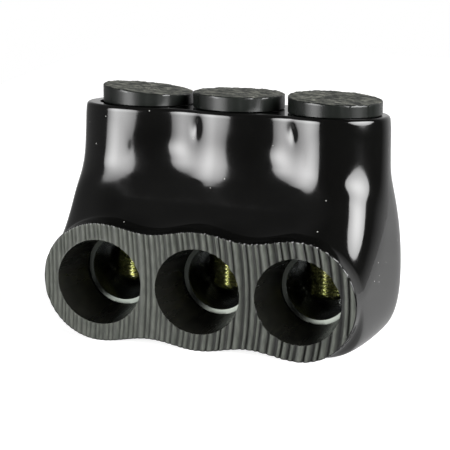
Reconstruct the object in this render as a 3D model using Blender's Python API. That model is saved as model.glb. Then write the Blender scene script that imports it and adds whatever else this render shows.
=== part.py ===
"""Insulated cable tap: a flexible dipped cover over an aluminium connector block.

+X runs along the row of cable ports, the cable entries face -Y and the screw wells open upward.
The cover stands on Z = 0 and the whole part is centred on X = 0 and Y = 0.
Each well holds a set screw, which clamps the cable in its bore, and is closed by a push-in cap.
"""
import math

import bmesh
import bpy
from mathutils import Vector

# Row of ports
PORT_COUNT = 3
PORT_PITCH = 0.022
FIT_GAP = 0.0003

# Cable entries of the cover
MOUTH_WEB = 0.0032
MOUTH_SQUASH = 0.0007
ENTRY_WALL = 0.0033
ENTRY_SCALLOP = 0.0014
ENTRY_TUBE_DEPTH = 0.0121
ENTRY_ROOT_DEPTH = 0.006

# Neck of the cover, with the screw wells
WELL_WEB = 0.0048
NECK_WALL = 0.0031
NECK_SCALLOP = 0.0011
WELL_SETBACK = 0.0224
NECK_ROOT_RISE = 0.0065
NECK_LENGTH = 0.0101
NECK_FALL = 0.085
RIM_ROUND = 0.0007

# Body of the cover round the block
BASE_WALL = 0.0027
BACK_WALL = 0.0033
END_WALL = 0.0029
SHOULDER_DEPTH = 0.0011
SHOULDER_RISE = 0.0045
FRONT_SQUARENESS = 3.5
HEEL_SQUARENESS = 4.3
CREASE_ROUND = 0.0065
NECK_ROOT_ROUND = 0.022
HEEL_ROUND = 0.007
SHOULDER_ROUND = 0.008

# How the sections turn from the entries to the neck
TURN_SETBACK = 0.0035
ENTRY_BLEND = 0.16
NECK_BLEND = 0.6

# Connector block
BLOCK_HEIGHT = 0.0283
BLOCK_BEVEL = 0.002
BORE_RADIUS = 0.0069
BORE_BEVEL = 0.0005
BORE_RUN_OUT = 0.0007
THROAT_LIP = 0.0009

# Set screws
SCREW_MARGIN = 0.0012
SCREW_LENGTH = 0.016
SCREW_BEVEL = 0.001
SCREW_TIP_ROOM = 0.003
SOCKET_FLATS = 0.006
SOCKET_DEPTH = 0.0065

# Access caps
HEAD_SPACING = 0.0029
HEAD_HEIGHT = 0.0038
HEAD_EDGE = 0.0002
HEAD_DRIFT = 0.0016
HEAD_TILT = 0.04
STEM_LENGTH = 0.009
STEM_WALL = 0.0027
RIB_DEPTH = 0.0006
RIB_HEIGHT = 0.0014
RIB_COUNT = 2
HOLLOW_DEPTH = 0.006

# Fineness of the facets
ROUND_STEPS = 40
SIDE_STEPS = 8
END_STEPS = 12
TURN_STEPS = 10
LEAST_TURN = 0.02
NECK_STEPS = 2
FILLET_STEPS = 6
SHARP_ANGLE = math.radians(32)
END_SLACK = 1e-3
PARALLEL_LIMIT = 1e-12

# Sizes that follow from those above
HALF_ROW = PORT_PITCH * (PORT_COUNT - 1) / 2
MOUTH_WIDTH = PORT_PITCH - MOUTH_WEB
MOUTH_HEIGHT = MOUTH_WIDTH - MOUTH_SQUASH
ENTRY_RADIUS = MOUTH_WIDTH / 2 + ENTRY_WALL
THROAT_RADIUS = BORE_RADIUS + THROAT_LIP
WELL_RADIUS = (PORT_PITCH - WELL_WEB) / 2
NECK_RADIUS = WELL_RADIUS + NECK_WALL
HEAD_RADIUS = (PORT_PITCH - HEAD_SPACING) / 2
STEM_RADIUS = WELL_RADIUS - FIT_GAP
STEM_CORE = STEM_RADIUS - RIB_DEPTH
HOLLOW_RADIUS = STEM_CORE - STEM_WALL
SCREW_RADIUS = BORE_RADIUS - SCREW_MARGIN
HOLE_RADIUS = SCREW_RADIUS + FIT_GAP
COVER_DEPTH = WELL_SETBACK + NECK_RADIUS + SHOULDER_DEPTH

# Places that follow from them
FRONT = -COVER_DEPTH / 2
BACK = COVER_DEPTH / 2
WELL_Y = FRONT + WELL_SETBACK
NECK_FRONT = WELL_Y - NECK_RADIUS
NECK_BACK = WELL_Y + NECK_RADIUS
PORT_AXIS = ENTRY_RADIUS
BLOCK_FRONT = FRONT + ENTRY_TUBE_DEPTH
BLOCK_BACK = BACK - BACK_WALL
BLOCK_TOP = BASE_WALL + BLOCK_HEIGHT
BLOCK_HALF = HALF_ROW + ENTRY_RADIUS - END_WALL
NECK_ROOT = BLOCK_TOP + NECK_ROOT_RISE
NECK_TOP = NECK_ROOT + NECK_LENGTH
OVERCUT = 0.001


def clear_scene():
    """Remove whatever the scene holds at the start."""
    for obj in list(bpy.data.objects):
        bpy.data.objects.remove(obj, do_unlink=True)


def make_material(name, colour, metallic, roughness):
    """Return a Principled material."""
    material = bpy.data.materials.new(name)
    material.use_nodes = True
    shader = material.node_tree.nodes["Principled BSDF"]
    shader.inputs["Base Color"].default_value = (*colour, 1.0)
    shader.inputs["Metallic"].default_value = metallic
    shader.inputs["Roughness"].default_value = roughness
    material.diffuse_color = (*colour, 1.0)
    return material


def cover_material():
    """Glossy black dipped plastic."""
    return make_material("glossy_black_dip", (0.012, 0.012, 0.011), 0.0, 0.12)


def cap_material():
    """Dull black rubbery plastic."""
    return make_material("dull_black_rubber", (0.03, 0.033, 0.03), 0.0, 0.5)


def block_material():
    """Bare machined aluminium."""
    return make_material("bare_aluminium", (0.62, 0.63, 0.62), 1.0, 0.35)


def screw_material():
    """Plated aluminium of the set screws."""
    return make_material("plated_screw", (0.58, 0.6, 0.5), 1.0, 0.3)


def port_centres():
    """X of every port along the row."""
    return [i * PORT_PITCH - HALF_ROW for i in range(PORT_COUNT)]


def add_object(name, bm, material=None):
    """Turn a bmesh into a linked object with outward normals."""
    bmesh.ops.recalc_face_normals(bm, faces=bm.faces)
    mesh = bpy.data.meshes.new(name)
    bm.to_mesh(mesh)
    bm.free()
    obj = bpy.data.objects.new(name, mesh)
    bpy.context.scene.collection.objects.link(obj)
    if material:
        mesh.materials.append(material)
    return obj


def ring_stack(name, rings, material=None):
    """Closed solid through a stack of rings that have the same number of points."""
    bm = bmesh.new()
    rows = [[bm.verts.new(point) for point in ring] for ring in rings]
    count = len(rows[0])
    for low, high in zip(rows, rows[1:]):
        for i in range(count):
            j = (i + 1) % count
            bm.faces.new((low[i], low[j], high[j], high[i]))
    bm.faces.new(rows[0])
    bm.faces.new(rows[-1])
    return add_object(name, bm, material)


def circle(radius, steps=ROUND_STEPS):
    """Points of a circle as pairs about its own centre."""
    turns = [2 * math.pi * i / steps for i in range(steps)]
    return [(radius * math.cos(turn), radius * math.sin(turn)) for turn in turns]


def level_ring(x, y, z, outline):
    """Outline laid level at a height."""
    return [Vector((x + a, y + b, z)) for a, b in outline]


def upright_ring(x, y, z, outline):
    """Outline stood upright, facing along Y."""
    return [Vector((x + a, y, z + b)) for a, b in outline]


def bevelled_box(name, low, high, bevel, material=None):
    """Box between two corners with rounded edges."""
    bm = bmesh.new()
    bmesh.ops.create_cube(bm, size=1.0)
    middle = (low + high) / 2
    size = high - low
    for vert in bm.verts:
        vert.co = Vector([m + v * s for m, v, s in zip(middle, vert.co, size)])
    bmesh.ops.bevel(bm, geom=list(bm.edges), offset=bevel, segments=3, profile=0.5, affect="EDGES")
    return add_object(name, bm, material)


def cut_away(obj, tools):
    """Subtract each tool from the object and throw the tools away."""
    for tool in tools:
        cutter = obj.modifiers.new("cut", "BOOLEAN")
        cutter.operation = "DIFFERENCE"
        cutter.solver = "EXACT"
        cutter.object = tool
    graph = bpy.context.evaluated_depsgraph_get()
    mesh = bpy.data.meshes.new_from_object(obj.evaluated_get(graph))
    obj.modifiers.clear()
    obj.data = mesh
    for tool in tools:
        bpy.data.objects.remove(tool, do_unlink=True)


def shade_with_sharp_edges(obj):
    """Smooth shading that keeps the true corners sharp."""
    bm = bmesh.new()
    bm.from_mesh(obj.data)
    for face in bm.faces:
        face.smooth = True
    for edge in bm.edges:
        edge.smooth = edge.calc_face_angle(math.pi) < SHARP_ANGLE
    bm.to_mesh(obj.data)
    bm.free()


def rounded_line(points, radii):
    """Side-view line through the points, with an arc at each inner corner."""
    line = [points[0]]
    for before, corner, after, radius in zip(points, points[1:], points[2:], radii):
        way_in = (before - corner).normalized()
        way_out = (after - corner).normalized()
        half = way_in.angle(way_out) / 2
        middle = corner + (way_in + way_out).normalized() * (radius / math.sin(half))
        first = corner + way_in * (radius / math.tan(half)) - middle
        last = corner + way_out * (radius / math.tan(half)) - middle
        sweep = first.angle(last)
        for i in range(FILLET_STEPS + 1):
            share = i / FILLET_STEPS
            weight_in = math.sin((1 - share) * sweep) / math.sin(sweep)
            weight_out = math.sin(share * sweep) / math.sin(sweep)
            line.append(middle + first * weight_in + last * weight_out)
    line.append(points[-1])
    return line


def crossing(line, start, way):
    """Nearest point where a ray from the start meets a side-view line."""
    nearest = None
    for a, b in zip(line, line[1:]):
        along = b - a
        spread = way.y * along.x - way.x * along.y
        if abs(spread) < PARALLEL_LIMIT:
            continue
        offset = a - start
        reach = (offset.y * along.x - offset.x * along.y) / spread
        share = (way.x * offset.y - way.y * offset.x) / spread
        on_line = -END_SLACK <= share <= 1 + END_SLACK
        if reach > 0 and on_line and (nearest is None or reach < nearest):
            nearest = reach
    return start + way * nearest


def side(y, z):
    """Point of the side view."""
    return Vector((y, z))


def front_line():
    """Side view of the upper front: over the entries, up the crease and up the neck."""
    return rounded_line(
        [side(FRONT - OVERCUT, 2 * ENTRY_RADIUS), side(FRONT + ENTRY_ROOT_DEPTH, 2 * ENTRY_RADIUS),
         side(NECK_FRONT, NECK_ROOT), side(NECK_FRONT, NECK_TOP + OVERCUT)],
        [CREASE_ROUND, NECK_ROOT_ROUND])


def back_line():
    """Side view of the base, the heel, the back and the shoulder up to the neck."""
    return rounded_line(
        [side(FRONT - OVERCUT, 0), side(BACK, 0), side(BACK, BLOCK_TOP),
         side(NECK_BACK, BLOCK_TOP + SHOULDER_RISE), side(NECK_BACK, NECK_TOP + OVERCUT)],
        [HEEL_ROUND, SHOULDER_ROUND, SHOULDER_ROUND])


def ease(share):
    """Soft step from 0 to 1."""
    share = min(max(share, 0.0), 1.0)
    return share * share * (3 - 2 * share)


def rim_height(y):
    """Height of the neck's cut edge, which falls toward the back."""
    return NECK_TOP - NECK_FALL * (y - NECK_FRONT)


def cover_section(near, far, turn, inset=0.0):
    """Closed outline between a front point and a back point at a share of the quarter turn."""
    entry = 1 - ease(turn / ENTRY_BLEND)
    neck = ease((turn - NECK_BLEND) / (1 - NECK_BLEND))
    body = 1 - entry - neck
    reach = (entry + body) * ENTRY_RADIUS + neck * NECK_RADIUS - inset
    scallop = entry * ENTRY_SCALLOP + neck * NECK_SCALLOP
    front_power = 2 * (entry + neck) + FRONT_SQUARENESS * body
    back_power = 2 * (entry + neck) + HEEL_SQUARENESS * body
    middle = (near + far) / 2
    across = (far - near).normalized()
    half = (far - near).length / 2 - inset

    def place(x, offset):
        spot = middle + across * offset
        return Vector((x, spot.x, spot.y))

    side_points = []
    for i in range((PORT_COUNT - 1) * SIDE_STEPS):
        dip = scallop * (1 - math.cos(2 * math.pi * i / SIDE_STEPS)) / 2
        side_points.append((i * PORT_PITCH / SIDE_STEPS - HALF_ROW, half - dip))
    end_points = []
    for i in range(2 * END_STEPS):
        swing = math.pi / 2 - math.pi * i / (2 * END_STEPS)
        power = 2 / (front_power if swing > 0 else back_power)
        out = reach * abs(math.cos(swing)) ** power
        lift = half * math.copysign(abs(math.sin(swing)) ** power, swing)
        end_points.append((HALF_ROW + out, lift))
    ring = [place(x, -offset) for x, offset in side_points]
    ring += [place(x, -lift) for x, lift in end_points]
    ring += [place(-x, offset) for x, offset in side_points]
    ring += [place(-x, -lift) for x, lift in [(HALF_ROW, -half)] + end_points[:0:-1]]
    return ring


def turn_shares(lines, pivot):
    """Shares of the quarter turn: even steps, and the points of the lines' arcs."""
    shares = [i / TURN_STEPS for i in range(TURN_STEPS)]
    for line in lines:
        ways = [point - pivot for point in line]
        shares += [math.atan2(way.x, -way.y) / (math.pi / 2) for way in ways]
    kept = [0.0]
    for share in sorted(shares):
        if kept[-1] + LEAST_TURN <= share <= 1 - LEAST_TURN:
            kept.append(share)
    return kept + [1.0]


def cover_rings():
    """Sections of the cover from the entry face, through the quarter turn, to the rim."""
    front = front_line()
    back = back_line()
    pivot = side(FRONT + TURN_SETBACK, NECK_ROOT)
    rings = []
    for y in (FRONT, FRONT + TURN_SETBACK / 2):
        start = side(y, pivot.y)
        way = side(0, -1)
        rings.append(cover_section(crossing(front, start, way), crossing(back, start, way), 0))
    for turn in turn_shares((front, back), pivot):
        way = side(math.sin(turn * math.pi / 2), -math.cos(turn * math.pi / 2))
        rings.append(cover_section(crossing(front, pivot, way), crossing(back, pivot, way), turn))
    for i in range(1, NECK_STEPS + 1):
        share = i / NECK_STEPS
        rings.append(neck_section(share, RIM_ROUND * share, 0.0))
    rings.append(neck_section(1.0, RIM_ROUND * (1 - math.sqrt(0.5)), RIM_ROUND * (1 - math.sqrt(0.5))))
    rings.append(neck_section(1.0, 0.0, RIM_ROUND))
    return rings


def neck_section(share, drop, inset):
    """Section of the neck at a share of the way up to its sloping rim."""
    near = NECK_ROOT + share * (rim_height(NECK_FRONT) - NECK_ROOT) - drop
    far = NECK_ROOT + share * (rim_height(NECK_BACK) - NECK_ROOT) - drop
    return cover_section(side(NECK_FRONT, near), side(NECK_BACK, far), 1.0, inset)


def entry_tool(x):
    """Tapering cable entry from the mouth in to the block."""
    mouth = [(MOUTH_WIDTH / 2 * a, MOUTH_HEIGHT / 2 * b) for a, b in circle(1.0)]
    throat = circle(THROAT_RADIUS)
    stops = [(FRONT - OVERCUT, mouth), (FRONT, mouth), (BLOCK_FRONT - FIT_GAP, throat),
             (BLOCK_FRONT + OVERCUT, throat)]
    return ring_stack("entry_tool", [upright_ring(x, y, PORT_AXIS, outline) for y, outline in stops])


def well_tool(x):
    """Screw well from the block up through the rim."""
    outline = circle(WELL_RADIUS)
    heights = (BLOCK_TOP - OVERCUT, NECK_TOP + OVERCUT)
    return ring_stack("well_tool", [level_ring(x, WELL_Y, z, outline) for z in heights])


def block_corners(gap):
    """Lowest and highest corner of the block, grown by a gap."""
    low = Vector((-BLOCK_HALF - gap, BLOCK_FRONT - gap, BASE_WALL - gap))
    high = Vector((BLOCK_HALF + gap, BLOCK_BACK + gap, BLOCK_TOP + gap))
    return low, high


def build_cover():
    """One-piece cover with the room for the block, the entries and the wells cut out."""
    cover = ring_stack("insulating_cover", cover_rings(), cover_material())
    low, high = block_corners(FIT_GAP)
    tools = [bevelled_box("block_room", low, high, BLOCK_BEVEL)]
    tools += [entry_tool(x) for x in port_centres()]
    tools += [well_tool(x) for x in port_centres()]
    cut_away(cover, tools)
    shade_with_sharp_edges(cover)


def bore_tool(x):
    """Blind cable bore with a bevelled mouth."""
    end = WELL_Y + HOLE_RADIUS + BORE_RUN_OUT
    wide = BORE_RADIUS + BORE_BEVEL + OVERCUT
    stops = [(BLOCK_FRONT - OVERCUT, wide), (BLOCK_FRONT + BORE_BEVEL, BORE_RADIUS), (end, BORE_RADIUS)]
    return ring_stack("bore_tool", [upright_ring(x, y, PORT_AXIS, circle(r)) for y, r in stops])


def hole_tool(x):
    """Screw hole from the top of the block down into the bore."""
    outline = circle(HOLE_RADIUS)
    heights = (PORT_AXIS, BLOCK_TOP + OVERCUT)
    return ring_stack("hole_tool", [level_ring(x, WELL_Y, z, outline) for z in heights])


def build_block():
    """Aluminium bar with a cable bore and a screw hole for every port."""
    low, high = block_corners(0.0)
    block = bevelled_box("connector_block", low, high, BLOCK_BEVEL, block_material())
    cut_away(block, [bore_tool(x) for x in port_centres()] + [hole_tool(x) for x in port_centres()])
    shade_with_sharp_edges(block)


def build_set_screw(number, x, material):
    """Set screw with a hexagon socket, run part of the way down."""
    foot = PORT_AXIS - BORE_RADIUS + SCREW_TIP_ROOM
    head = foot + SCREW_LENGTH
    stops = [(foot, SCREW_RADIUS - SCREW_BEVEL), (foot + SCREW_BEVEL, SCREW_RADIUS),
             (head - SCREW_BEVEL, SCREW_RADIUS), (head, SCREW_RADIUS - SCREW_BEVEL)]
    rings = [level_ring(x, WELL_Y, z, circle(radius)) for z, radius in stops]
    screw = ring_stack(f"set_screw_{number}", rings, material)
    hexagon = circle(SOCKET_FLATS / math.sqrt(3), 6)
    socket = [level_ring(x, WELL_Y, z, hexagon) for z in (head - SOCKET_DEPTH, head + OVERCUT)]
    cut_away(screw, [ring_stack("socket_tool", socket)])
    shade_with_sharp_edges(screw)


def cap_ring(x, radius, lift, drift=0.0, tilt=0.0):
    """Ring parallel to the sloping rim, at a lift above it."""
    ring = []
    for a, b in circle(radius):
        y = WELL_Y + b
        ring.append(Vector((x + drift + a, y, rim_height(y) + lift - tilt * a)))
    return ring


def stem_rings(x, foot, top):
    """Ribbed stem of a cap from its hollow foot up to the head."""
    rings = [level_ring(x, WELL_Y, foot + HOLLOW_DEPTH, circle(HOLLOW_RADIUS)),
             level_ring(x, WELL_Y, foot, circle(HOLLOW_RADIUS)),
             level_ring(x, WELL_Y, foot, circle(STEM_CORE))]
    step = (top - foot) / (RIB_COUNT + 1)
    for i in range(1, RIB_COUNT + 1):
        low = foot + i * step - RIB_HEIGHT / 2
        for z, radius in ((low - RIB_DEPTH, STEM_CORE), (low, STEM_RADIUS),
                          (low + RIB_HEIGHT, STEM_RADIUS), (low + RIB_HEIGHT, STEM_CORE)):
            rings.append(level_ring(x, WELL_Y, z, circle(radius)))
    return rings


def build_cap(number, x, material):
    """Push-in cap: hollow ribbed stem under a disc head that rests on the rim."""
    share = (PORT_COUNT - number) / max(PORT_COUNT - 1, 1)
    drift = HEAD_DRIFT * share
    tilt = HEAD_TILT * share
    foot = rim_height(WELL_Y) - STEM_LENGTH
    rings = stem_rings(x, foot, rim_height(NECK_BACK))
    rings.append(cap_ring(x, STEM_CORE, FIT_GAP))
    rings.append(cap_ring(x, HEAD_RADIUS, FIT_GAP, drift))
    rings.append(cap_ring(x, HEAD_RADIUS, FIT_GAP + HEAD_HEIGHT - HEAD_EDGE, drift, tilt))
    rings.append(cap_ring(x, HEAD_RADIUS - HEAD_EDGE, FIT_GAP + HEAD_HEIGHT, drift, tilt))
    cap = ring_stack(f"access_cap_{number}", rings, material)
    shade_with_sharp_edges(cap)


def build_part():
    """Build every piece."""
    clear_scene()
    build_cover()
    build_block()
    steel = screw_material()
    rubber = cap_material()
    for number, x in enumerate(port_centres(), start=1):
        build_set_screw(number, x, steel)
        build_cap(number, x, rubber)


build_part()
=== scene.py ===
"""Looks of the insulated multi-tap connector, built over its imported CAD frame."""
import math

import bmesh
import bpy
import numpy as np
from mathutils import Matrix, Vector, noise
from mathutils.geometry import delaunay_2d_cdt


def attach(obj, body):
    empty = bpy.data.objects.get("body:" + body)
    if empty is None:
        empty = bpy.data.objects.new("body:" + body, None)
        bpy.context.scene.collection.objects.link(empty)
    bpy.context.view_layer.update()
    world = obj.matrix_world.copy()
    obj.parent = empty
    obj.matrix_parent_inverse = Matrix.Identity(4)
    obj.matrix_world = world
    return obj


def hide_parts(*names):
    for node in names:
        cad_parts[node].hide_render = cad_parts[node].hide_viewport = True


MM = 0.001

# Sizes of the CAD part, in millimetres, with the rounding of the cut edges added
PITCH = 22.0
PORTS = (-PITCH, 0.0, PITCH)
HALF_ROW = PITCH
ENTRY_RADIUS = 12.7
NECK_RADIUS = 11.7
FRONT = -17.6
BACK = 17.6
WELL_Y = 4.8
NECK_FRONT = WELL_Y - NECK_RADIUS
NECK_BACK = WELL_Y + NECK_RADIUS
NECK_ROOT = 37.5
NECK_TOP = 47.6
NECK_FALL = 0.085
ENTRY_REACH = 6.0
PIVOT_INSET = 3.5
FRONT_ROUNDS = (6.5, 22.0)
BACK_ROUNDS = (7.0, 8.0, 8.0)
BLOCK_LOW = (-31.8, -5.5, 2.7)
BLOCK_HIGH = (31.8, 14.3, 31.0)
BLOCK_ROUND = 2.0
SHOULDER_RISE = 4.5
RIM_ROUND = 0.7
EDGE_ROUND = 0.2
MOUTH = (9.4, 9.05)
THROAT = 7.8
WELL_RADIUS = 8.6
BORE_RADIUS = 6.9
BORE_END = 11.5
SCREW_RADIUS = 5.7
HOLE_RADIUS = 6.0
SCREW_FOOT = 8.8
SCREW_LENGTH = 16.0
SOCKET_ACROSS = 6.0
SOCKET_DEPTH = 6.5
SCREW_CHAMFER = 1.0
THREAD_PITCH = 0.8
THREAD_DEPTH = 0.42
HEAD_RADIUS = 9.55
STEM_RADIUS = 8.3
STEM_CORE = 7.7
STEM_LENGTH = 9.0
HOLLOW_RADIUS = 5.0
HOLLOW_DEPTH = 6.0
CAP_LIFT = 0.12
GAP = 0.3

# Shape of the neck's front at levels going up: depth of the scallops, their skew, and how it leans back
NECK_LEVELS = (33.0, 36.5, 40.0, 43.5, 47.6)
NECK_SCALLOPS = (0.445, 0.884, 1.221, 1.195, 1.092)
NECK_SKEWS = (0.08, 0.08, 0.06, 0.083, 0.083)
NECK_LEANS = (0.095, -0.005, 0.079, 0.324, 0.672)

# How the ends turn from the body to the neck: where the change starts and how long it takes
ENDS_IN = (0.55, 0.4)
FRONT_IN = (0.54, 0.27)
BACK_IN = (0.55, 0.4)
LOBES_IN = (0.3, 0.4)
FRONT_SQUARENESS = 3.1
HEEL_SQUARENESS = 4.5

# How soon in the turn the entries' waists are gone and the ends have grown square in front and at the heel
WAISTS_GONE = 0.16
FRONT_SQUARE = 0.4
HEEL_SQUARE = 0.05

# Depths of the waists between the ports at the entries, between the wells in front, and behind them
ENTRY_WAIST = 1.4
NECK_WAIST = 1.184
BACK_WAIST = 1.1

# The top of the neck draws in above a height, as the square of what is above it
DRAW_IN = 0.016
DRAW_FROM = 43.2

# How much higher than the CAD part the cover was cut: at the left, what the right adds, and from what height
RIM_LIFT = 0.25
RIM_LIFT_GAIN = 0.9
ROW_END = 33.0
LIFT_FROM = 36.0
LIFT_OVER = 11.6

# Saw cuts: their pitch in the middle and its growth to the right, the least depth and the greatest,
# from where and over what length they deepen, and how far their tips lean to the left
SAW_PITCH = 1.36
SAW_GROWTH = 0.0136
SAW_LEAST = 0.17
SAW_DEEPEST = 0.5
DEEPEN_FROM = -24.0
DEEPEN_OVER = 50.0
SAW_LEAN = 0.35
LEAN_GROWTH = 0.018

# Each cap's head: drift to the right, fall to the right, fall to the front, height, and how much wider it is
CAPS = ((1.95, 0.07, -0.01, 3.05, 0.1), (0.6, -0.005, 0.0, 3.15, 0.12), (0.0, 0.035, 0.03, 3.2, 0.3))

# Dents in the neck's front: place along the row and height, half widths, and depth
DENTS = ((-4.9, 44.1, 0.7, 1.25, 0.27), (15.9, 45.0, 0.5, 0.9, 0.2), (16.6, 43.8, 0.5, 0.9, 0.14))

# Torn places at the edges of the entries, by port: turn in degrees, and depth
CHIPS = dict(zip(PORTS, (((176, 0.03), (200, 0.025)),
                         ((212, 0.035), (226, 0.03), (243, 0.02)),
                         ((92, 0.03), (228, 0.03), (236, 0.02)))))

# Fineness of the dressed cover: steps round it and along it, where its first rings stand behind the cut face,
# rounds of smoothing for the skin and for its ends, and points across a millimetre of the sawn face
PER_PITCH = 68
PER_QUARTER = 36
FINER = 3
TURNS = 84
NECK_RINGS = 18
FIRST_RINGS = (0.62, 1.2, 1.9, 2.7)
SKIN_ROUNDS = 3
END_ROUNDS = 300
SAW_POINTS = 8

# Rings of a cap: on its stem, on the side of its head, and on its torn top
STEM, SIDE, TOP = 0, 1, 2

# Camera of the photograph, in metres, and the lens in millimetres
CAMERA_PLACE = (0.19079, -0.48399, 0.15172)
CAMERA_AIM = (0.00629, -0.0176, 0.02754)
CAMERA_LENS = 203.1

# Where the lights stand, in metres
LIGHT_AIM = (0.0, 0.0, 0.035)
LIGHT_DISTANCE = 0.7


def rounded_line(points, radii, steps=28):
    """Side-view line through the points with an arc at each inner corner."""
    points = [np.array(p, float) for p in points]
    line = [points[0]]
    for before, corner, after, radius in zip(points, points[1:], points[2:], radii):
        way_in = (before - corner) / np.linalg.norm(before - corner)
        way_out = (after - corner) / np.linalg.norm(after - corner)
        half = math.acos(float(way_in @ way_out)) / 2
        middle = corner + (way_in + way_out) / np.linalg.norm(way_in + way_out) * radius / math.sin(half)
        first = corner + way_in * radius / math.tan(half) - middle
        last = corner + way_out * radius / math.tan(half) - middle
        sweep = math.acos(float(first @ last) / radius ** 2)
        for i in range(steps + 1):
            share = i / steps
            line.append(middle + first * math.sin((1 - share) * sweep) / math.sin(sweep)
                        + last * math.sin(share * sweep) / math.sin(sweep))
    line.append(points[-1])
    return np.array(line)


def crossing(line, start, way):
    """Nearest point where a ray meets a side-view line."""
    a = line[:-1]
    along = line[1:] - a
    offset = a - start
    slant = way[1] * along[:, 0] - way[0] * along[:, 1]
    slant = np.where(np.abs(slant) < 1e-12, 1e-12, slant)
    reach = (offset[:, 1] * along[:, 0] - offset[:, 0] * along[:, 1]) / slant
    share = (way[0] * offset[:, 1] - way[1] * offset[:, 0]) / slant
    met = (reach > 0) & (share >= -1e-9) & (share <= 1 + 1e-9)
    return start + way * reach[met].min()


def ease(share):
    """Soft step from 0 to 1."""
    share = np.clip(share, 0.0, 1.0)
    return share * share * (3 - 2 * share)


def rim_height(y):
    """Height of the neck's cut edge."""
    return NECK_TOP - NECK_FALL * (y - NECK_FRONT)


def rim_lift(x):
    """How much higher the cover was cut there than in the CAD part."""
    return RIM_LIFT + RIM_LIFT_GAIN * (x + ROW_END) / (2 * ROW_END)


def smooth_through(at, values):
    """Smooth curve through the values at the levels of the neck, level beyond them."""
    levels = np.array(NECK_LEVELS)
    values = np.array(values)
    slopes = np.gradient(values, levels)
    at = min(max(at, levels[0]), levels[-1])
    k = min(int(np.searchsorted(levels, at, "right")) - 1, len(levels) - 2)
    room = levels[k + 1] - levels[k]
    t = (at - levels[k]) / room
    return ((1 + 2 * t) * (1 - t) ** 2 * values[k] + t * (1 - t) ** 2 * room * slopes[k]
            + t * t * (3 - 2 * t) * values[k + 1] + t * t * (t - 1) * room * slopes[k + 1])


def section(near, far, turn, inset=0.0, finer=1):
    """Closed outline of the cover between a front point and a back point."""
    per_pitch = PER_PITCH * finer
    per_quarter = PER_QUARTER * finer
    near = np.array(near, float)
    far = np.array(far, float)
    entry = 1 - ease(turn / WAISTS_GONE)
    lobed = ease((turn - LOBES_IN[0]) / LOBES_IN[1])
    neck = ease((turn - ENDS_IN[0]) / ENDS_IN[1])
    front_neck = ease((turn - FRONT_IN[0]) / FRONT_IN[1])
    back_neck = ease((turn - BACK_IN[0]) / BACK_IN[1])
    drawn = DRAW_IN * max(near[1] - DRAW_FROM, 0.0) ** 2
    reach = (1 - neck) * ENTRY_RADIUS + neck * NECK_RADIUS - inset - drawn
    front_power = 2 + (FRONT_SQUARENESS - 2) * np.clip(ease(turn / FRONT_SQUARE) - front_neck, 0, 1)
    back_power = 2 + (HEEL_SQUARENESS - 2) * np.clip(ease(turn / HEEL_SQUARE) - back_neck, 0, 1)
    middle = (near + far) / 2
    across = (far - near) / np.linalg.norm(far - near)
    half = np.linalg.norm(far - near) / 2 - inset
    step = np.arange(2 * per_pitch) / per_pitch
    share = step % 1.0
    skew = share - smooth_through(near[1], NECK_SKEWS) * lobed * np.sin(math.pi * share)
    wave = ((1 - np.cos(2 * math.pi * skew)) / 2) ** 1.07
    side_x = step * PITCH - HALF_ROW
    scallop = NECK_WAIST * smooth_through(near[1], NECK_SCALLOPS)
    front_off = half - (entry * ENTRY_WAIST + lobed * scallop) * wave
    back_off = half - (entry * ENTRY_WAIST + neck * BACK_WAIST) * (1 - np.cos(2 * math.pi * share)) / 2
    swing = math.pi / 2 - math.pi * np.arange(2 * per_quarter) / (2 * per_quarter)
    power = 2 / np.where(swing > 0, front_power, back_power)
    out = reach * np.abs(np.cos(swing)) ** power
    lift = half * np.sign(np.sin(swing)) * np.abs(np.sin(swing)) ** power
    back_off = np.concatenate([back_off[:1], back_off[:0:-1]])
    x = np.concatenate([side_x, HALF_ROW + out, -side_x, -HALF_ROW - np.concatenate([[0], out[:0:-1]])])
    off = np.concatenate([-front_off, -lift, back_off, half_turn(half, lift)])
    lean = smooth_through(near[1], NECK_LEANS) * ease((near[1] - 27) / 6) * np.maximum(-off, 0) / half
    return np.c_[x, middle[0] + across[0] * off + lean, middle[1] + across[1] * off]


def half_turn(half, lift):
    """Offsets of the left end, from the back round to the front."""
    return -np.concatenate([[-half], lift[:0:-1]])


def neck_ring(front, share, drop=0.0, inset=0.0):
    """Ring of the neck at a share of the way up to its sloping rim."""
    near = NECK_ROOT + share * (rim_height(NECK_FRONT) - NECK_ROOT) - drop
    far = NECK_ROOT + share * (rim_height(NECK_BACK) - NECK_ROOT) - drop
    upper = front[front[:, 1] > 30]
    return section((np.interp(near, upper[:, 1], upper[:, 0]), near), (NECK_BACK, far), 1.0, inset)


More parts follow.
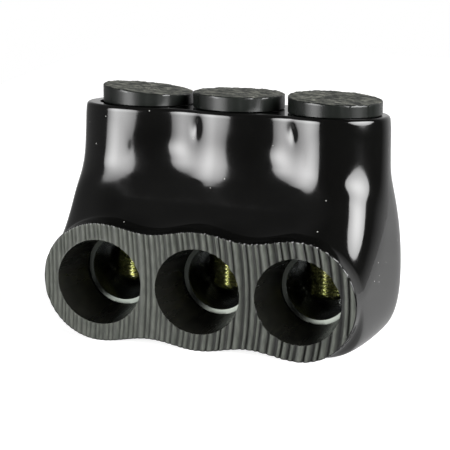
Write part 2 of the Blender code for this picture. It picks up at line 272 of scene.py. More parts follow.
def cover_rings():
    """Rings of the cover's skin from just behind the entry face to the rim."""
    front = rounded_line([(FRONT - 1, 2 * ENTRY_RADIUS), (FRONT + ENTRY_REACH, 2 * ENTRY_RADIUS),
                          (NECK_FRONT, NECK_ROOT), (NECK_FRONT, NECK_TOP + 1)], FRONT_ROUNDS)
    shoulder = BLOCK_HIGH[2]
    back = rounded_line([(FRONT - 1, 0), (BACK, 0), (BACK, shoulder),
                         (NECK_BACK, shoulder + SHOULDER_RISE), (NECK_BACK, NECK_TOP + 1)], BACK_ROUNDS)
    pivot = np.array([FRONT + PIVOT_INSET, NECK_ROOT])
    rings = []
    for inset in FIRST_RINGS:
        start = np.array([FRONT + inset, NECK_ROOT])
        way = np.array([0.0, -1.0])
        rings.append(section(crossing(front, start, way), crossing(back, start, way), 0))
    for turn in np.linspace(0, 1, TURNS + 1):
        way = np.array([math.sin(turn * math.pi / 2), -math.cos(turn * math.pi / 2)])
        rings.append(section(crossing(front, pivot, way), crossing(back, pivot, way), turn))
    for share in np.linspace(0, 1, NECK_RINGS + 1)[1:]:
        rings.append(neck_ring(front, share, RIM_ROUND * share))
    rings = soften_ends(soften(np.array(rings), SKIN_ROUNDS), END_ROUNDS)
    rounding = []
    for angle in (0.25, 0.5, 0.75, 1.0):
        lean = angle * math.pi / 2
        drop = RIM_ROUND * (1 - math.sin(lean))
        rounding.append(neck_ring(front, 1.0, drop, RIM_ROUND * (1 - math.cos(lean))))
    return np.concatenate([rings, np.array(rounding)])


def dent(rings):
    """Press the dents into the neck's front."""
    for x, z, wide, high, depth in DENTS:
        near = np.exp(-((rings[..., 0] - x) / wide) ** 2 / 2 - ((rings[..., 2] - z) / high) ** 2 / 2)
        rings[..., 1] += depth * near * (rings[..., 1] < WELL_Y)
    return rings


def soften(rings, rounds):
    """Even out the curve along the cover, so reflections run smoothly."""
    for _ in range(rounds):
        inner = (rings[:-2] + 2 * rings[1:-1] + rings[2:]) / 4
        rings[4:-2] = inner[3:-1]
    return rings


def soften_ends(rings, rounds):
    """Melt the rounded ends of the cover into one another, away from the face and the rim."""
    place = np.arange(len(rings))
    away = ease((place - 6) / 10) * ease((len(rings) - 5 - place) / 10)
    at_end = ease((np.abs(rings[..., 0]) - 19) / 7)
    at_heel = ease((rings[..., 1] - 1) / 8) * ease((46 - rings[..., 2]) / 10)
    weight = away[:, None] * at_end * (1 - 0.9 * at_heel)
    for _ in range(rounds):
        inner = (rings[:-2] + 2 * rings[1:-1] + rings[2:]) / 4
        rings[1:-1] += (inner - rings[1:-1]) * weight[1:-1, :, None]
    return rings


def stretch(x, z):
    """Saw line through a point, named by where it crosses the height of the ports."""
    line = np.array(x, float)
    for _ in range(8):
        line = x + lean_of(line, z)
    return line


def lean_of(line, z):
    """How far a saw line leans to the left of its middle at a height."""
    return (SAW_LEAN + LEAN_GROWTH * (line + ROW_END)) * ((z - ENTRY_RADIUS) / ENTRY_RADIUS) ** 2


def saw_depth(x, z):
    """Depth of the saw cuts across the entry face."""
    line = stretch(x, z)
    phase = np.log((SAW_PITCH + SAW_GROWTH * line) / SAW_PITCH) / SAW_GROWTH
    wander = 0.12 * np.sin(0.9 * line + 1.0) + 0.1 * np.sin(2.3 * line)
    return saw_reach(line) * (1 - np.abs(np.sin(math.pi * (phase + wander))))


def saw_reach(line):
    """Greatest depth of the saw cuts, growing to the right."""
    return SAW_LEAST + (SAW_DEEPEST - SAW_LEAST) * ease((line - DEEPEN_FROM) / DEEPEN_OVER)


def loop_edges(start, count):
    """Edges that close a loop of points."""
    return [(start + i, start + (i + 1) % count) for i in range(count)]


def plate(outline, holes, inner, keep):
    """Flat triangulated plate between an outline and its holes, as points and triangles."""
    points = list(outline)
    edges = loop_edges(0, len(outline))
    for hole in holes:
        edges += loop_edges(len(points), len(hole))
        points += list(hole)
    points += list(inner)
    flat, _, faces, *_ = delaunay_2d_cdt([Vector(p) for p in points], edges, [], 0, 1e-7)
    flat = np.array([tuple(p) for p in flat])
    faces = np.array(faces)
    centres = flat[faces].mean(axis=1)
    return flat, faces[keep(centres[:, 0], centres[:, 1])]


def oval(x, y, wide, high, count):
    """Points round an oval."""
    turn = 2 * math.pi * np.arange(count) / count
    return np.c_[x + wide * np.cos(turn), y + high * np.sin(turn)]


def strip(low, high, offset):
    """Quads between two rings of equal length that are stacked from an offset."""
    count = len(low)
    return [(offset + i, offset + (i + 1) % count, offset + count + (i + 1) % count, offset + count + i)
            for i in range(count)]


class Patches:
    """Patches of surface that are welded into one mesh."""

    def __init__(self):
        self.points = []
        self.faces = []
        self.slots = []

    def add(self, points, faces, slot):
        start = len(self.points)
        self.points += [tuple(p) for p in points]
        self.faces += [tuple(int(i) + start for i in face) for face in faces]
        self.slots += [slot] * len(faces)

    def tube(self, rings, slot):
        count = len(rings[0])
        faces = []
        for row in range(len(rings) - 1):
            faces += strip(rings[row], rings[row + 1], row * count)
        self.add(np.concatenate(rings), faces, slot)

    def build(self, name, materials, sharp=38.0):
        mesh = bpy.data.meshes.new(name)
        mesh.from_pydata([(x * MM, y * MM, z * MM) for x, y, z in self.points], [], self.faces)
        mesh.polygons.foreach_set("material_index", self.slots)
        for material in materials:
            mesh.materials.append(material)
        finish_mesh(mesh, sharp)
        return put(name, mesh)


def put(name, data):
    """New object in the scene around a mesh, light or camera."""
    obj = bpy.data.objects.new(name, data)
    bpy.context.scene.collection.objects.link(obj)
    return obj


def finish_mesh(mesh, sharp):
    """Weld, face outward, and shade smooth with the true corners sharp."""
    bm = bmesh.new()
    bm.from_mesh(mesh)
    bmesh.ops.remove_doubles(bm, verts=bm.verts, dist=0.004 * MM)
    bmesh.ops.recalc_face_normals(bm, faces=bm.faces)
    for face in bm.faces:
        face.smooth = True
    for edge in bm.edges:
        edge.smooth = edge.calc_face_angle(math.pi) < math.radians(sharp)
    bm.to_mesh(mesh)
    bm.free()


def upper_half(outline, across):
    """Half height of an outline, as a function of place along the row."""
    top = outline[outline[:, 1] >= across - 1e-9]
    order = np.argsort(top[:, 0])
    return lambda x: np.interp(x, top[order, 0], top[order, 1] - across, left=-1, right=-1)


def entry_face(patches, first_ring):
    """Sawn face of the cable entries, with a ridge for every saw line."""
    edges = []
    for lean in (math.pi / 2, math.pi / 3, math.pi / 6, 0.0):
        edge = section((FRONT, 2 * ENTRY_RADIUS), (FRONT, 0.0), 0, EDGE_ROUND * (1 - math.cos(lean)), FINER)
        edge[:, 1] += EDGE_ROUND * (1 - math.sin(lean)) + saw_depth(edge[:, 0], edge[:, 2])
        edges.append(edge)
    outline = edges[0][:, [0, 2]]
    half = upper_half(outline, ENTRY_RADIUS)
    mouths = [mouth_outline(x) for x in PORTS]
    left, right = -34, 24
    lines = np.linspace(left, right, (right - left) * SAW_POINTS + 1)
    lines = (np.exp(SAW_GROWTH * lines) - 1) / SAW_GROWTH * SAW_PITCH
    rows = np.arange(-12.4, 12.5, 0.5)
    line, row = np.meshgrid(lines, rows)
    z = ENTRY_RADIUS + row.ravel()
    x = line.ravel() - lean_of(line.ravel(), z)

    def inside(x, z, margin):
        room = half(x) - np.abs(z - ENTRY_RADIUS) > margin
        for port in PORTS:
            shape = np.hypot((x - port) / (MOUTH[0] + margin), (z - ENTRY_RADIUS) / (MOUTH[1] + margin))
            room &= shape > 1
        return room

    kept = inside(x, z, 0.14)
    flat, faces = plate(outline, mouths, np.c_[x, z][kept], lambda x, z: inside(x, z, 0.0))
    y = FRONT + saw_depth(flat[:, 0], flat[:, 1])
    patches.add(np.c_[flat[:, 0], y, flat[:, 1]], faces, 1)
    patches.tube(edges, 0)
    stitch(patches, edges[-1], first_ring)
    for port, mouth in zip(PORTS, mouths):
        entry_tube(patches, mouth, port)


def mouth_outline(port):
    """Edge of a cable entry, with the small nicks that cutting left."""
    edge = oval(0.0, 0.0, MOUTH[0], MOUTH[1], 180)
    nicks = np.array([1 + 0.0035 * noise.noise(Vector((3 * a + port, 3 * b, 0.5))) for a, b in edge])
    turn = 2.0 * np.arange(180)
    for middle, depth in CHIPS[port]:
        torn = np.array([0.7 + noise.noise(Vector((5 * a, 5 * b, port))) for a, b in edge])
        nicks += depth * torn * np.exp(-((turn - middle) / 3.5) ** 2)
    edge = edge * nicks[:, None]
    return edge + np.array([port, ENTRY_RADIUS])


def stitch(patches, fine, coarse):
    """Join the fine edge of the sawn face to the coarser skin."""
    count = len(coarse)
    faces = []
    for i in range(count):
        j = (i + 1) % count
        run = [(FINER * i + k) % (FINER * count) for k in range(FINER + 1)]
        faces.append(run + [FINER * count + j, FINER * count + i])
    patches.add(np.concatenate([fine, coarse]), faces, 0)


def entry_tube(patches, mouth, port):
    """Tapering wall of a cable entry back to the block."""
    end = BLOCK_LOW[1] - GAP
    turn = np.arctan2((mouth[:, 1] - ENTRY_RADIUS) / MOUTH[1], (mouth[:, 0] - port) / MOUTH[0])
    throat = np.c_[port + THROAT * np.cos(turn), ENTRY_RADIUS + THROAT * np.sin(turn)]
    rings = [np.c_[mouth[:, 0], FRONT + saw_depth(mouth[:, 0], mouth[:, 1]), mouth[:, 1]]]
    for share in (0.03, 0.1, 0.2, 0.35, 0.5, 0.65, 0.8, 0.9, 1.0):
        spot = mouth + (throat - mouth) * share
        rings.append(np.c_[spot[:, 0], np.full(len(spot), FRONT + share * (end - FRONT)), spot[:, 1]])
    patches.tube(rings, 2)


def rim_plate(patches, last_ring):
    """Sloping cut edge on top of the neck, with the screw wells."""
    outline = last_ring[:, :2]
    front = outline[outline[:, 1] <= WELL_Y + 1e-9]
    order = np.argsort(front[:, 0])
    wells = [oval(x, WELL_Y, WELL_RADIUS, WELL_RADIUS, 96) for x in PORTS]

    def inside(x, y):
        room = WELL_Y - np.interp(x, front[order, 0], front[order, 1], left=99, right=99)
        kept = np.abs(y - WELL_Y) < room
        for port in PORTS:
            kept &= np.hypot(x - port, y - WELL_Y) > WELL_RADIUS * 0.998
        return kept

    flat, faces = plate(outline, wells, [], inside)
    patches.add(np.c_[flat, rim_height(flat[:, 1])], faces, 0)
    for well in wells:
        rings = [np.c_[well, rim_height(well[:, 1])]]
        rings += [np.c_[well, np.full(len(well), z)] for z in (45.0, 40.0, 35.0, BLOCK_HIGH[2] + GAP)]
        patches.tube(rings, 2)


def build_cover(materials):
    """Dipped cover as one skin with its sawn face, entries, wells and a rim cut higher to the right."""
    patches = Patches()
    rings = dent(cover_rings())
    patches.tube(list(rings), 0)
    entry_face(patches, rings[0])
    rim_plate(patches, rings[-1])
    patches.points = [(x, y, z + rim_lift(x) * float(ease((z - LIFT_FROM) / LIFT_OVER)))
                      for x, y, z in patches.points]
    cover = patches.build("dipped_cover", materials)
    paint_groove_shade(cover.data)
    return cover


def paint_groove_shade(mesh):
    """Keep on the mesh how deep in the saw grooves each point of the entry face lies, 1 for the deepest; the
    face's colour uses it as painted shade in the grooves.
    """
    spots = np.empty(3 * len(mesh.vertices))
    mesh.vertices.foreach_get("co", spots)
    x, y, z = spots.reshape(-1, 3).T / MM
    deep = np.where(y < FRONT + EDGE_ROUND + 0.55, saw_depth(x, z) / SAW_DEEPEST, 0.0)
    painted_groove_shade = mesh.attributes.new("painted_groove_shade", "FLOAT", "POINT")
    painted_groove_shade.data.foreach_set("value", deep)


def revolve(patches, profile, place, slots, steps):
    """Surface of rings, where place turns a radius, a height and an angle into a point."""
    turns = 2 * math.pi * np.arange(steps) / steps
    for k in range(len(profile) - 1):
        rings = [np.array([place(*profile[j], turn) for turn in turns]) for j in (k, k + 1)]
        patches.tube(rings, slots[k])


def new_material(name, roughness, metallic=0.0):
    """Material with its node tree and shader."""
    material = bpy.data.materials.new(name)
    material.use_nodes = True
    tree = material.node_tree
    shader = tree.nodes["Principled BSDF"]
    shader.inputs["Roughness"].default_value = roughness
    shader.inputs["Metallic"].default_value = metallic
    return material, tree, shader


def node(tree, kind, **values):
    """Node of a kind with its input values set by name."""
    made = tree.nodes.new(kind)
    for name, value in values.items():
        made.inputs[name.replace("_", " ")].default_value = value
    return made


def place_noise(tree, scale, stretch_by=(1, 1, 1), detail=4.0, roughness=0.55):
    """Noise fixed to the object, stretched along its axes."""
    spot = tree.nodes.new("ShaderNodeTexCoord")
    mapping = tree.nodes.new("ShaderNodeMapping")
    mapping.inputs["Scale"].default_value = stretch_by
    texture = node(tree, "ShaderNodeTexNoise", Scale=scale, Detail=detail, Roughness=roughness)
    tree.links.new(spot.outputs["Object"], mapping.inputs["Vector"])
    tree.links.new(mapping.outputs["Vector"], texture.inputs["Vector"])
    return texture.outputs["Fac"]


def ramp(tree, source, stops):
    """Colour ramp through stops of position and colour."""
    made = tree.nodes.new("ShaderNodeValToRGB")
    tree.links.new(source, made.inputs["Fac"])
    elements = made.color_ramp.elements
    while len(elements) < len(stops):
        elements.new(0.5)
    for element, (position, colour) in zip(elements, stops):
        element.position = position
        element.color = (*colour, 1.0)
    return made.outputs["Color"]


def feed(tree, socket, value):
    """Link a node's output into a socket, or set the socket to a plain value."""
    if isinstance(value, bpy.types.NodeSocket):
        tree.links.new(value, socket)
    else:
        socket.default_value = value


def blend(tree, factor, first, second, kind="MIX"):
    """Mix of two colours."""
    made = tree.nodes.new("ShaderNodeMix")
    made.data_type = "RGBA"
    made.blend_type = kind
    for name, value in (("Factor", factor), ("A", first), ("B", second)):
        feed(tree, made.inputs[name], value)
    return made.outputs["Result"]


def calculate(tree, kind, operation, output, *values):
    """Math node on numbers or vectors, fed in order."""
    made = tree.nodes.new(kind)
    made.operation = operation
    for socket, value in zip(made.inputs, values):
        feed(tree, socket, value)
    return made.outputs[output]


def spread(tree, source, low, high, to_low, to_high):
    """Map a value from one range to another."""
    made = tree.nodes.new("ShaderNodeMapRange")
    for name, value in (("From Min", low), ("From Max", high), ("To Min", to_low), ("To Max", to_high)):
        made.inputs[name].default_value = value
    tree.links.new(source, made.inputs["Value"])
    return made.outputs["Result"]


def bump(tree, shader, height, distance, before=None):
    """Bump in the shader's normal, on top of another one."""
    made = node(tree, "ShaderNodeBump", Distance=distance, Strength=1.0)
    tree.links.new(height, made.inputs["Height"])
    if before:
        tree.links.new(before, made.inputs["Normal"])
    tree.links.new(made.outputs["Normal"], shader.inputs["Normal"])
    return made.outputs["Normal"]


def specks(tree, scale, reach):
    """Sparse small dots: 1 in a speck, 0 elsewhere."""
    spot = tree.nodes.new("ShaderNodeTexCoord")
    cells = node(tree, "ShaderNodeTexVoronoi", Scale=scale)
    tree.links.new(spot.outputs["Object"], cells.inputs["Vector"])
    near = spread(tree, cells.outputs["Distance"], reach, reach * 0.6, 0.0, 1.0)
    split = tree.nodes.new("ShaderNodeSeparateColor")
    tree.links.new(cells.outputs["Color"], split.inputs["Color"])
    rare = spread(tree, split.outputs["Red"], 0.72, 0.73, 0.0, 1.0)
    return calculate(tree, "ShaderNodeMath", "MULTIPLY", "Value", near, rare)


def dip_material():
    """Glossy black dipped plastic with faint waves, dust and a slightly uneven gloss."""
    material, tree, shader = new_material("dipped_gloss", 0.09)
    shader.inputs["IOR"].default_value = 1.52
    tone = ramp(tree, place_noise(tree, 60.0),
                [(0.3, (0.0014, 0.0014, 0.0013)), (0.7, (0.0024, 0.0024, 0.0022))])
    dusty = blend(tree, specks(tree, 400.0, 0.065), tone, (0.35, 0.35, 0.33, 1.0))
    tree.links.new(dusty, shader.inputs["Base Color"])
    gloss = spread(tree, place_noise(tree, 220.0), 0.3, 0.7, 0.075, 0.12)
    tree.links.new(gloss, shader.inputs["Roughness"])
    waves = bump(tree, shader, place_noise(tree, 75.0, detail=1.0), 0.00006)
    bump(tree, shader, place_noise(tree, 1400.0, detail=2.0), 0.0000015, before=waves)
    return material


def sawn_material():
    """Cut face of the same plastic: dull, lighter, with painted shade darkening the saw grooves by their
    depth.
    """
    material, tree, shader = new_material("sawn_face", 0.5)
    shader.inputs["Specular IOR Level"].default_value = 0.45
    fine = place_noise(tree, 1500.0, (1.0, 1.0, 0.25), detail=4.0)
    tone = ramp(tree, fine, [(0.3, (0.04, 0.044, 0.037)), (0.7, (0.086, 0.092, 0.078))])
    # Painted shade: the deeper a point lies in the saw grooves, the darker its colour.
    painted_groove_shade = tree.nodes.new("ShaderNodeAttribute")
    painted_groove_shade.attribute_name = "painted_groove_shade"
    shade = ramp(tree, painted_groove_shade.outputs["Fac"], [(0.0, (1.0, 1.0, 1.0)), (0.15, (0.85, 0.85, 0.85)),
                                               (0.33, (0.4, 0.4, 0.4)), (0.9, (0.03, 0.03, 0.03))])
    tree.links.new(blend(tree, 1.0, tone, shade, "MULTIPLY"), shader.inputs["Base Color"])
    dull = spread(tree, place_noise(tree, 700.0, (1.0, 1.0, 0.5)), 0.3, 0.7, 0.3, 0.44)
    tree.links.new(dull, shader.inputs["Roughness"])
    bump(tree, shader, fine, 0.00002)
    return material


def entry_material():
    """Inside of the entries and wells: smooth black plastic with faint scuffs."""
    material, tree, shader = new_material("moulded_inside", 0.4)
    shader.inputs["Specular IOR Level"].default_value = 0.35
    tone = ramp(tree, place_noise(tree, 160.0),
                [(0.35, (0.0042, 0.0044, 0.0038)), (0.75, (0.011, 0.011, 0.009))])
    tree.links.new(tone, shader.inputs["Base Color"])
    gloss = spread(tree, place_noise(tree, 400.0, (1.0, 0.15, 1.0)), 0.3, 0.7, 0.22, 0.36)
    tree.links.new(gloss, shader.inputs["Roughness"])
    bump(tree, shader, place_noise(tree, 700.0, (1.0, 0.1, 1.0)), 0.00001)
    return material


def alloy_material():
    """Machined aluminium with fine turning marks."""
    material, tree, shader = new_material("machined_alloy", 0.2, 1.0)
    tone = ramp(tree, place_noise(tree, 300.0), [(0.3, (0.5, 0.52, 0.52)), (0.7, (0.66, 0.67, 0.66))])
    tree.links.new(tone, shader.inputs["Base Color"])
    marks = place_noise(tree, 500.0, (0.15, 6.0, 0.15), detail=3.0)
    tree.links.new(spread(tree, marks, 0.3, 0.7, 0.14, 0.26), shader.inputs["Roughness"])
    bump(tree, shader, marks, 0.000012)
    return material


def bevel_shade_material():
    """Machined aluminium of the bevel round each cable bore, painted dark as shade."""
    material, tree, shader = new_material("bevel_painted_shade_metal", 0.2, 1.0)
    marks = place_noise(tree, 500.0, (0.15, 6.0, 0.15), detail=3.0)
    tone = ramp(tree, marks, [(0.3, (0.028, 0.031, 0.028)), (0.7, (0.05, 0.054, 0.048))])
    tree.links.new(tone, shader.inputs["Base Color"])
    tree.links.new(spread(tree, marks, 0.3, 0.7, 0.14, 0.24), shader.inputs["Roughness"])
    bump(tree, shader, marks, 0.000012)
    return material


def plated_material():
    """Yellow-green passivated plating of the set screws."""
    material, tree, shader = new_material("passivated_plating", 0.22, 1.0)
    tone = ramp(tree, place_noise(tree, 250.0), [(0.3, (0.2, 0.215, 0.09)), (0.7, (0.4, 0.4, 0.22))])
    tree.links.new(tone, shader.inputs["Base Color"])
    gloss = spread(tree, place_noise(tree, 900.0), 0.3, 0.7, 0.16, 0.3)
    tree.links.new(gloss, shader.inputs["Roughness"])
    return material


def rubber_material():
    """Satin black side of the caps, with faint upright streaks."""
    material, tree, shader = new_material("cap_side", 0.4)
    streaks = place_noise(tree, 420.0, (1.0, 1.0, 0.08), detail=3.0)
    tone = ramp(tree, streaks, [(0.3, (0.0035, 0.0045, 0.0036)), (0.7, (0.0075, 0.009, 0.0076))])
    tree.links.new(tone, shader.inputs["Base Color"])
    tree.links.new(spread(tree, streaks, 0.3, 0.7, 0.24, 0.36), shader.inputs["Roughness"])
    bump(tree, shader, streaks, 0.00002)
    return material


def torn_material():
    """Rough dusty top of the caps, with scuffs in patches."""
    material, tree, shader = new_material("cap_top", 0.65)
    patchy = place_noise(tree, 640.0, (0.7, 1.2, 1.0), detail=6.0, roughness=0.6)
    tone = ramp(tree, patchy, [(0.4, (0.013, 0.015, 0.012)), (0.5, (0.058, 0.062, 0.05)),
                               (0.62, (0.18, 0.18, 0.152))])
    tree.links.new(tone, shader.inputs["Base Color"])
    bump(tree, shader, place_noise(tree, 700.0, detail=5.0), 0.00024)
    return material


def cap_profile(rim, head, wider):
    """Radius, lift and kind of every ring of a cap: stem rings stand level, head rings follow the rim."""
    foot = rim - STEM_LENGTH
    roof = foot + HOLLOW_DEPTH
    rings = [(radius, lift, STEM) for radius, lift in (
        (0.01, roof), (HOLLOW_RADIUS, roof), (HOLLOW_RADIUS, foot), (HOLLOW_RADIUS + 0.2, foot),
        (STEM_CORE - 0.2, foot), (STEM_CORE, foot + 0.3))]
    rib = ((STEM_CORE, -0.6), (STEM_RADIUS - 0.05, -0.02), (STEM_RADIUS, 0.2),
           (STEM_RADIUS, 1.25), (STEM_RADIUS - 0.08, 1.4), (STEM_CORE, 1.42))
    step = (rim_height(NECK_BACK) - foot) / 3
    for i in (1, 2):
        base = foot + i * step - 0.7
        rings += [(radius, base + rise, STEM) for radius, rise in rib]
    radius = HEAD_RADIUS + wider
    under, over = CAP_LIFT, head + CAP_LIFT
    rings += [(STEM_CORE, under, SIDE), (radius - 0.12, under, SIDE), (radius, 2 * under, SIDE)]
    rings += [(radius, 2 * under + (head - 0.3) * i / 8, SIDE) for i in range(1, 9)]
    rings += [(radius - 0.05, head + 0.02, SIDE), (radius - 0.18, over, SIDE)]
    rings += [(radius * (1 - i / 34) - 0.18, over, TOP) for i in range(1, 33)]
    rings += [(0.01, over, TOP)]
    return rings


def build_cap(number, x, materials):
    """Push-in cap with a torn, uneven top and slightly wavy sides."""
    drift, fall_right, fall_front, head, wider = CAPS[number - 1]

    def place(radius, lift, kind, turn):
        a = radius * math.cos(turn)
        b = radius * math.sin(turn)
        if kind == STEM:
            return x + a, WELL_Y + b, lift
        ragged = noise.noise(Vector((2.2 * math.cos(turn), 2.2 * math.sin(turn), number)))
        grow = 1 + 0.006 * ragged
        a, b = a * grow, b * grow
        height = min((lift - CAP_LIFT) / head, 1.0)
        rough = 0.0
        if kind == TOP or height > 0.95:
            spot = Vector((x + a, b, number)) * 0.55
            rough = 0.12 * noise.noise(spot) + 0.1 * noise.noise(spot * 3.1) + 0.05 * noise.noise(spot * 9)
        out = drift * min(1.0, max(0.0, (radius - STEM_CORE) / 1.5 if height < 0.01 else 1.0))
        base = rim_lift(x + out + a * (1 - height))
        fall = (fall_front * b - fall_right * a) * height
        return x + out + a, WELL_Y + b, rim_height(WELL_Y + b) + base + lift + fall + min(rough, 0.1)

    profile = cap_profile(rim_height(WELL_Y), head, wider)
    patches = Patches()
    slots = [int(TOP in (low[2], high[2])) for low, high in zip(profile, profile[1:])]
    revolve(patches, profile, place, slots, 144)
    return patches.build(f"plug_cap_{number}", materials, 34.0)


def build_screw(number, x, material):
    """Set screw with a fine thread and a hexagon socket."""
    patches = Patches()
    steps = 72
    head = SCREW_FOOT + SCREW_LENGTH
    end_radius = SCREW_RADIUS - SCREW_CHAMFER
    levels = int(SCREW_LENGTH / THREAD_PITCH * 10)
    turns = 2 * math.pi * np.arange(steps) / steps
    rings = []
    for k in range(levels + 1):
        z = SCREW_FOOT + SCREW_LENGTH * k / levels
        end = min(z - SCREW_FOOT, head - z)
        limit = SCREW_RADIUS - max(0.0, SCREW_CHAMFER - end)
        wave = (turns / (2 * math.pi) + z / THREAD_PITCH) % 1.0
        rings.append((np.minimum(SCREW_RADIUS - THREAD_DEPTH * (1 - np.abs(2 * wave - 1)), limit), z))
    corner = np.cos(math.pi / 6) / np.cos((turns % (math.pi / 3)) - math.pi / 6)
    hexagon = SOCKET_ACROSS / 2 / math.cos(math.pi / 6) * corner
    foot = [(end_radius, SCREW_FOOT), (2.0, SCREW_FOOT), (0.01, SCREW_FOOT)]
    mouth = [(end_radius, head), (hexagon + 0.15, head), (hexagon, head - 0.2),
             (hexagon, head - SOCKET_DEPTH), (0.01, head - SOCKET_DEPTH - 1.2)]
    for run in (rings, foot, mouth):
        patches.tube([np.c_[x + r * np.cos(turns), WELL_Y + r * np.sin(turns), np.full(steps, z)]
                      for r, z in run], 0)
    return patches.build(f"threaded_screw_{number}", [material], 30.0)


def lathe_tool(name, stops, along):
    """Round cutter through stops of radius and distance, along Y or along Z."""
    steps = 96
    turns = 2 * math.pi * np.arange(steps) / steps
    patches = Patches()
    rings = []
    for x, radius, place in stops:
        a, b = radius * np.cos(turns), radius * np.sin(turns)
        level = np.full(steps, place)
        ring = (x + a, level, ENTRY_RADIUS + b) if along == "y" else (x + a, WELL_Y + b, level)
        rings.append(np.column_stack(ring))
    patches.tube(rings, 0)
    for end in (rings[0], rings[-1]):
        patches.add(end, [range(steps)], 0)
    return patches.build(name, [])


def build_block(materials):
    """Connector block with turned cable bores and screw holes."""
    bm = bmesh.new()
    bmesh.ops.create_cube(bm, size=1.0)
    low, high = Vector(BLOCK_LOW) * MM, Vector(BLOCK_HIGH) * MM
    for vert in bm.verts:
        vert.co = Vector([(a + b) / 2 + c * (b - a) for a, b, c in zip(low, high, vert.co)])
    bmesh.ops.bevel(bm, geom=list(bm.edges), offset=BLOCK_ROUND * MM, segments=5, profile=0.5, affect="EDGES")
    mesh = bpy.data.meshes.new("bored_block")
    bm.to_mesh(mesh)
    bm.free()
    block = put("bored_block", mesh)
    tools = []
    for x in PORTS:
        front = BLOCK_LOW[1]
        stops = [(x, BORE_RADIUS + 2.3, front - 0.27), (x, BORE_RADIUS + 0.05, front + 0.33)]
        stops += [(x, BORE_RADIUS + (0.02 if i % 2 else 0.0), front + 0.4 + i * 0.4) for i in range(40)]
        stops = [stop for stop in stops if stop[2] < BORE_END - 0.4] + [(x, BORE_RADIUS, BORE_END)]
        tools.append(lathe_tool("bore_cutter", stops, "y"))
        top = BLOCK_HIGH[2]
        hole = [(x, HOLE_RADIUS, ENTRY_RADIUS), (x, HOLE_RADIUS, top - 0.6),
                (x, HOLE_RADIUS + 0.6, top), (x, HOLE_RADIUS + 1.6, top + 1.0)]
        tools.append(lathe_tool("hole_cutter", hole, "z"))
    cut(block, tools)
    for material in materials:
        block.data.materials.append(material)
    # The bevel faces round each bore take the second material, the same aluminium painted dark as shade.
    for face in block.data.polygons:
        x, y, z = face.center / MM
        near = min(math.hypot(x - port, z - ENTRY_RADIUS) for port in PORTS) < BORE_RADIUS + 1.5
        face.material_index = int(near and 0.9 < abs(face.normal.y) < 0.98)
    finish_mesh(block.data, 30.0)
    return block


def cut(obj, tools):
    """Subtract tools from an object and remove them."""
    for tool in tools:
        cutter = obj.modifiers.new("cut", "BOOLEAN")
        cutter.operation = "DIFFERENCE"
        cutter.solver = "EXACT"
        cutter.object = tool
    graph = bpy.context.evaluated_depsgraph_get()
    mesh = bpy.data.meshes.new_from_object(obj.evaluated_get(graph))
    obj.modifiers.clear()
    obj.data = mesh
    for tool in tools:
        bpy.data.objects.remove(tool, do_unlink=True)


def softbox(name, azimuth, elevation, size, radiance, core, shape, edge):
    """Oval area light seen from the part at an azimuth and elevation, fading from its core to its edge."""
    light = bpy.data.lights.new(name, "AREA")
    light.shape = "ELLIPSE"
    light.size, light.size_y = size
    light.energy = radiance * math.pi * size[0] * size[1] * math.pi / 4
    obj = put(name, light)
    az, el = math.radians(azimuth), math.radians(elevation)
    way = Vector((math.sin(az) * math.cos(el), -math.cos(az) * math.cos(el), math.sin(el)))
    obj.location = Vector(LIGHT_AIM) + way * LIGHT_DISTANCE
    obj.rotation_euler = way.to_track_quat("Z", "Y").to_euler()
    obj.visible_camera = False
    light.use_nodes = True
    tree = light.node_tree
    spot = tree.nodes.new("ShaderNodeNewGeometry").outputs["Parametric"]
    away = calculate(tree, "ShaderNodeVectorMath", "SUBTRACT", "Vector", spot, (*core, 0.0))
    scaled = calculate(tree, "ShaderNodeVectorMath", "MULTIPLY", "Vector", away, (*shape, 0.0))
    far = calculate(tree, "ShaderNodeVectorMath", "LENGTH", "Value", scaled)
    fade = node(tree, "ShaderNodeMapRange", From_Min=0.0, From_Max=1.0, To_Min=1.0, To_Max=edge)
    fade.interpolation_type = "SMOOTHSTEP"
    tree.links.new(far, fade.inputs["Value"])
    tree.links.new(fade.outputs["Result"], tree.nodes["Emission"].inputs["Strength"])


def build_lights():
    """Main softbox on the left, another on the right."""
    softbox("softbox_left", azimuth=-32.5, elevation=2.2, size=(0.5, 0.62), radiance=15.6,
            core=(0.536, 0.604), shape=(1.167, 1.787), edge=0.0)
    softbox("softbox_right", azimuth=77.0, elevation=20.0, size=(0.78, 0.56), radiance=17.5,
            core=(0.5, 0.5), shape=(1.5, 1.5), edge=0.4)


def build_world():
    """White surroundings for the camera, a dim room elsewhere that is brighter behind."""
    world = bpy.data.worlds.new("studio")
    bpy.context.scene.world = world
    world.use_nodes = True
    tree = world.node_tree
    path = tree.nodes.new("ShaderNodeLightPath")
    spot = tree.nodes.new("ShaderNodeTexCoord")
    split = tree.nodes.new("ShaderNodeSeparateXYZ")
    tree.links.new(spot.outputs["Generated"], split.inputs["Vector"])
    sides = ramp(tree, spread(tree, split.outputs["X"], -1.0, 1.0, 0.0, 1.0),
                 [(0.15, (0.2, 0.2, 0.2)), (0.5, (0.045, 0.045, 0.045))])
    behind = ramp(tree, split.outputs["Y"],
                  [(0.62, (0.0, 0.0, 0.0)), (0.8, (0.28, 0.28, 0.28)), (0.98, (0.6, 0.6, 0.6))])
    room = blend(tree, 1.0, sides, behind, "ADD")
    seen = blend(tree, path.outputs["Is Camera Ray"], room, (1.0, 1.0, 1.0, 1.0))
    tree.links.new(seen, tree.nodes["Background"].inputs["Color"])


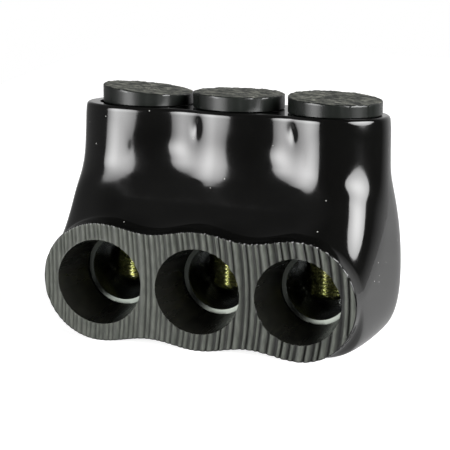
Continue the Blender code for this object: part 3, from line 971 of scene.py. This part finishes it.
def white_stage_material():
    """Floor: white to the eye, grey in reflections, with the object's soft shadow."""
    material, tree, shader = new_material("white_paper", 0.9)
    grain = ramp(tree, place_noise(tree, 40.0), [(0.3, (0.48, 0.48, 0.48)), (0.7, (0.52, 0.52, 0.52))])
    tree.links.new(grain, shader.inputs["Base Color"])
    path = tree.nodes.new("ShaderNodeLightPath")
    glow = 0.0
    for ray, strength in (("Is Camera Ray", 0.85), ("Is Glossy Ray", 0.1), ("Is Transmission Ray", 0.85)):
        glow = calculate(tree, "ShaderNodeMath", "MULTIPLY_ADD", "Value", path.outputs[ray], strength, glow)
    shader.inputs["Emission Color"].default_value = (1.0, 1.0, 1.0, 1.0)
    tree.links.new(glow, shader.inputs["Emission Strength"])
    return material


def build_floor(material):
    """Sheet of white paper under the part."""
    front, back, left, right = -118.0, 330.0, -170.0, 85.0
    count = 9
    points = [(x * MM, y * MM, 0.0) for x in np.linspace(left, right, count)
              for y in np.linspace(front, back, count)]
    faces = [(i * count + j, (i + 1) * count + j, (i + 1) * count + j + 1, i * count + j + 1)
             for i in range(count - 1) for j in range(count - 1)]
    mesh = bpy.data.meshes.new("paper_sheet")
    mesh.from_pydata(points, [], faces)
    mesh.materials.append(material)
    for face in mesh.polygons:
        face.use_smooth = True
    sheet = put("paper_sheet", mesh)


def build_camera():
    """Camera at the photograph's angle."""
    camera = bpy.data.cameras.new("camera")
    camera.lens = CAMERA_LENS
    camera.sensor_width = 36.0
    camera.clip_start = 0.01
    obj = put("camera", camera)
    obj.location = CAMERA_PLACE
    way = obj.location - Vector(CAMERA_AIM)
    obj.rotation_euler = way.to_track_quat("Z", "Y").to_euler()
    bpy.context.scene.camera = obj


def dress():
    """Build every piece and hang it on its body."""
    cover = build_cover([dip_material(), sawn_material(), entry_material()])
    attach(cover, "body")
    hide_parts("insulating_cover")
    block = build_block([alloy_material(), bevel_shade_material()])
    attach(block, "body")
    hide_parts("connector_block")
    plating = plated_material()
    rubber = [rubber_material(), torn_material()]
    for number, x in enumerate(PORTS, start=1):
        screw = build_screw(number, x, plating)
        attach(screw, f"screw_{number}")
        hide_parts(f"set_screw_{number}")
        cap = build_cap(number, x, rubber)
        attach(cap, f"cap_{number}")
        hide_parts(f"access_cap_{number}")


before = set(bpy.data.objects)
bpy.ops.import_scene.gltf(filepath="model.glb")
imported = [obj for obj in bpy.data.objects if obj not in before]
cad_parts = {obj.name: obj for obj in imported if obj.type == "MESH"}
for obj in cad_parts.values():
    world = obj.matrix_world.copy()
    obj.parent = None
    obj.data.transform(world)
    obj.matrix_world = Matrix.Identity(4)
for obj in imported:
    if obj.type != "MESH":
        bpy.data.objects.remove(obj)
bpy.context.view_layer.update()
build_camera()
dress()
build_floor(white_stage_material())
build_lights()
build_world()
bpy.context.scene.view_settings.view_transform = "Standard"
